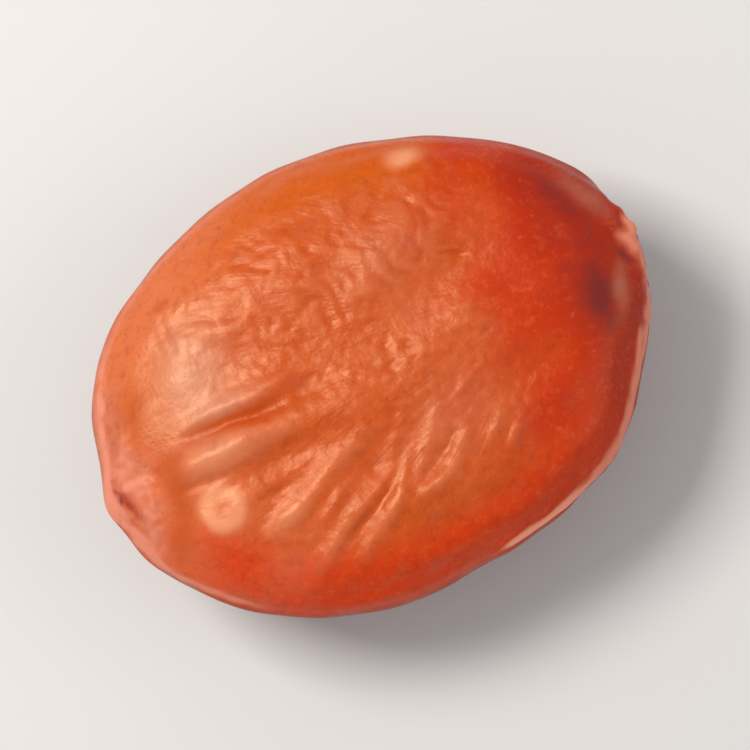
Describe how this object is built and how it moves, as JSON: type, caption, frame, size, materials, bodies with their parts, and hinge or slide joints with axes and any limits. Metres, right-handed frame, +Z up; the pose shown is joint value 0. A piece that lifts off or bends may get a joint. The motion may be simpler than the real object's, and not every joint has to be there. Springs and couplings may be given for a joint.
{
  "type": "sour jujube seed",
  "caption": "Flattened oval seed with a glossy orange-brown coat: a wrinkled face with a middle ridge, a rounded back, a rim, and a notch at the end where it was attached.",
  "frame": {"origin": "under the middle of the seed, on the surface that it rests on", "axes": "+X along the seed towards the hilum, where it was attached; +Y across it; +Z up, out of the ridged face"},
  "size_m": [0.0076, 0.0058, 0.0029],
  "materials": {
    "seed_coat": "glossy, finely wrinkled orange-brown seed coat"
  },
  "bodies": {
    "root": {"seed": "seed_coat"}
  },
  "joints": []
}
